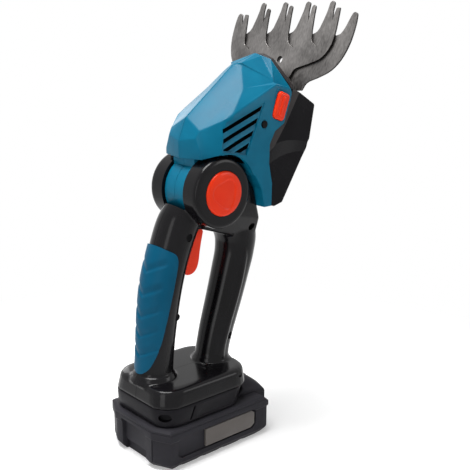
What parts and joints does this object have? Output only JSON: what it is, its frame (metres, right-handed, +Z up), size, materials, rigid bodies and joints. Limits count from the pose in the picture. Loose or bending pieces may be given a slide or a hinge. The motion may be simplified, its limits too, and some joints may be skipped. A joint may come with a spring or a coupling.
{
  "type": "cordless hedge trimmer",
  "caption": "Cordless garden shear on an upright D-shaped handle, with a tilting head, a wide fingered blade pair, a trigger and a slide-on battery foot.",
  "frame": {"origin": "middle of the battery's flat underside, which the shear stands on", "axes": "+Z up, +X forward from the rear grip to the front strut, +Y to the left"},
  "size_m": [0.1667, 0.1306, 0.3344],
  "materials": {
    "gloss_black": "gloss black moulded housing",
    "matt_black": "matt black moulded housing",
    "blue_shell": "satin blue moulded housing",
    "blue_grip": "soft blue overmould",
    "orange_button": "orange-red moulded button",
    "blade_steel": "ground and tempered blade steel",
    "plain_steel": "plain steel",
    "dark_steel": "blackened screw",
    "brass": "brass",
    "cell_wrap": "shrink-wrapped cell",
    "board_green": "circuit board",
    "inner_grey": "grey moulded part",
    "label_grey": "bare label plate"
  },
  "bodies": {
    "handle": {"handle_shell_right": "gloss_black", "handle_shell_left": "gloss_black", "grip_overmould_right": "blue_grip", "grip_overmould_left": "blue_grip", "dock_skirt": "matt_black", "terminal_block": "brass", "switch_body": "inner_grey", "trigger_pin": "plain_steel", "pivot_axle": "plain_steel", "detent_ring_right": "plain_steel", "detent_ring_left": "plain_steel", "pivot_spring_right": "plain_steel", "pivot_spring_left": "plain_steel", "handle_screw_1": "dark_steel", "handle_screw_2": "dark_steel", "handle_screw_3": "dark_steel", "handle_screw_4": "dark_steel"},
    "head": {"head_shell_right": "blue_shell", "head_shell_left": "blue_shell", "gear_cover": "gloss_black", "front_lip": "gloss_black", "gearbox_plate": "inner_grey", "gearbox_case": "inner_grey", "gear_pin": "plain_steel", "motor_can": "plain_steel", "motor_end_cap": "inner_grey", "fixed_blade": "blade_steel", "blade_pivot_pin": "plain_steel", "head_screws": "dark_steel", "release_spring_right": "plain_steel", "release_spring_left": "plain_steel"},
    "pivot_button_right": {"pivot_button_right": "orange_button"},
    "pivot_button_left": {"pivot_button_left": "orange_button"},
    "trigger": {"trigger": "orange_button", "trigger_spring": "plain_steel"},
    "release_button_right": {"release_button_right": "orange_button"},
    "release_button_left": {"release_button_left": "orange_button"},
    "rotor": {"pinion": "brass", "motor_shaft": "plain_steel"},
    "crank": {"crank_gear": "brass"},
    "moving_blade": {"moving_blade": "blade_steel"},
    "battery": {"battery_case_lower": "matt_black", "battery_case_upper": "matt_black", "battery_board": "board_green", "battery_terminals": "brass", "battery_label": "label_grey", "cell_holder": "inner_grey", "cell_strap_right": "plain_steel", "cell_strap_left": "plain_steel", "latch_spring": "plain_steel", "battery_cell_1": "cell_wrap", "battery_cell_2": "cell_wrap", "battery_cell_3": "cell_wrap", "battery_cell_4": "cell_wrap", "battery_cell_5": "cell_wrap", "battery_screw_1": "dark_steel", "battery_screw_2": "dark_steel", "battery_screw_3": "dark_steel", "battery_screw_4": "dark_steel"},
    "battery_latch": {"battery_latch": "inner_grey"}
  },
  "joints": [
    {"name": "head_tilt", "type": "hinge", "parent": "handle", "child": "head", "pos_m": [0.007, 0, 0.1977], "axis": [0, -1, 0], "range_deg": [0, 60]},
    {"name": "pivot_button_right_press", "type": "slide", "parent": "handle", "child": "pivot_button_right", "axis": [0, 1, 0], "range_m": [0, 0.003], "stiffness_N_per_m": 2000, "springref_m": -0.001, "deforming": ["pivot_spring_right"]},
    {"name": "pivot_button_left_press", "type": "slide", "parent": "handle", "child": "pivot_button_left", "axis": [0, -1, 0], "range_m": [0, 0.003], "stiffness_N_per_m": 2000, "springref_m": -0.001, "deforming": ["pivot_spring_left"]},
    {"name": "trigger_pull", "type": "hinge", "parent": "handle", "child": "trigger", "pos_m": [-0.008, 0, 0.166], "axis": [0, 1, 0], "range_deg": [0, 7], "stiffness_Nm_per_rad": 1, "springref_deg": -8.59},
    {"name": "release_button_right_press", "type": "slide", "parent": "head", "child": "release_button_right", "axis": [0, 1, 0], "range_m": [0, 0.003], "stiffness_N_per_m": 1200, "springref_m": -0.001, "deforming": ["release_spring_right"]},
    {"name": "release_button_left_press", "type": "slide", "parent": "head", "child": "release_button_left", "axis": [0, -1, 0], "range_m": [0, 0.003], "stiffness_N_per_m": 1200, "springref_m": -0.001, "deforming": ["release_spring_left"]},
    {"name": "crank_spin", "type": "hinge", "parent": "head", "child": "crank", "pos_m": [0.08091, 0, 0.23842], "axis": [-0.9397, 0, 0.342], "continuous": true},
    {"name": "motor_spin", "type": "hinge", "parent": "head", "child": "rotor", "pos_m": [0.07352, 0, 0.21812], "axis": [-0.9397, 0, 0.342], "continuous": true},
    {"name": "blade_swing", "type": "hinge", "parent": "head", "child": "moving_blade", "pos_m": [0.07741, 0, 0.26098], "axis": [-0.9397, 0, 0.342], "range_deg": [-10.15, 3.85]},
    {"name": "battery_slide", "type": "slide", "parent": "handle", "child": "battery", "axis": [1, 0, 0], "range_m": [0, 0.09]},
    {"name": "battery_latch_press", "type": "slide", "parent": "battery", "child": "battery_latch", "axis": [0, 0, -1], "range_m": [0, 0.003], "stiffness_N_per_m": 1200, "springref_m": -0.001, "deforming": ["latch_spring"]}
  ],
  "couplings": [
    {"joint": "motor_spin", "follows": "crank_spin", "ratio": -3.5}
  ]
}
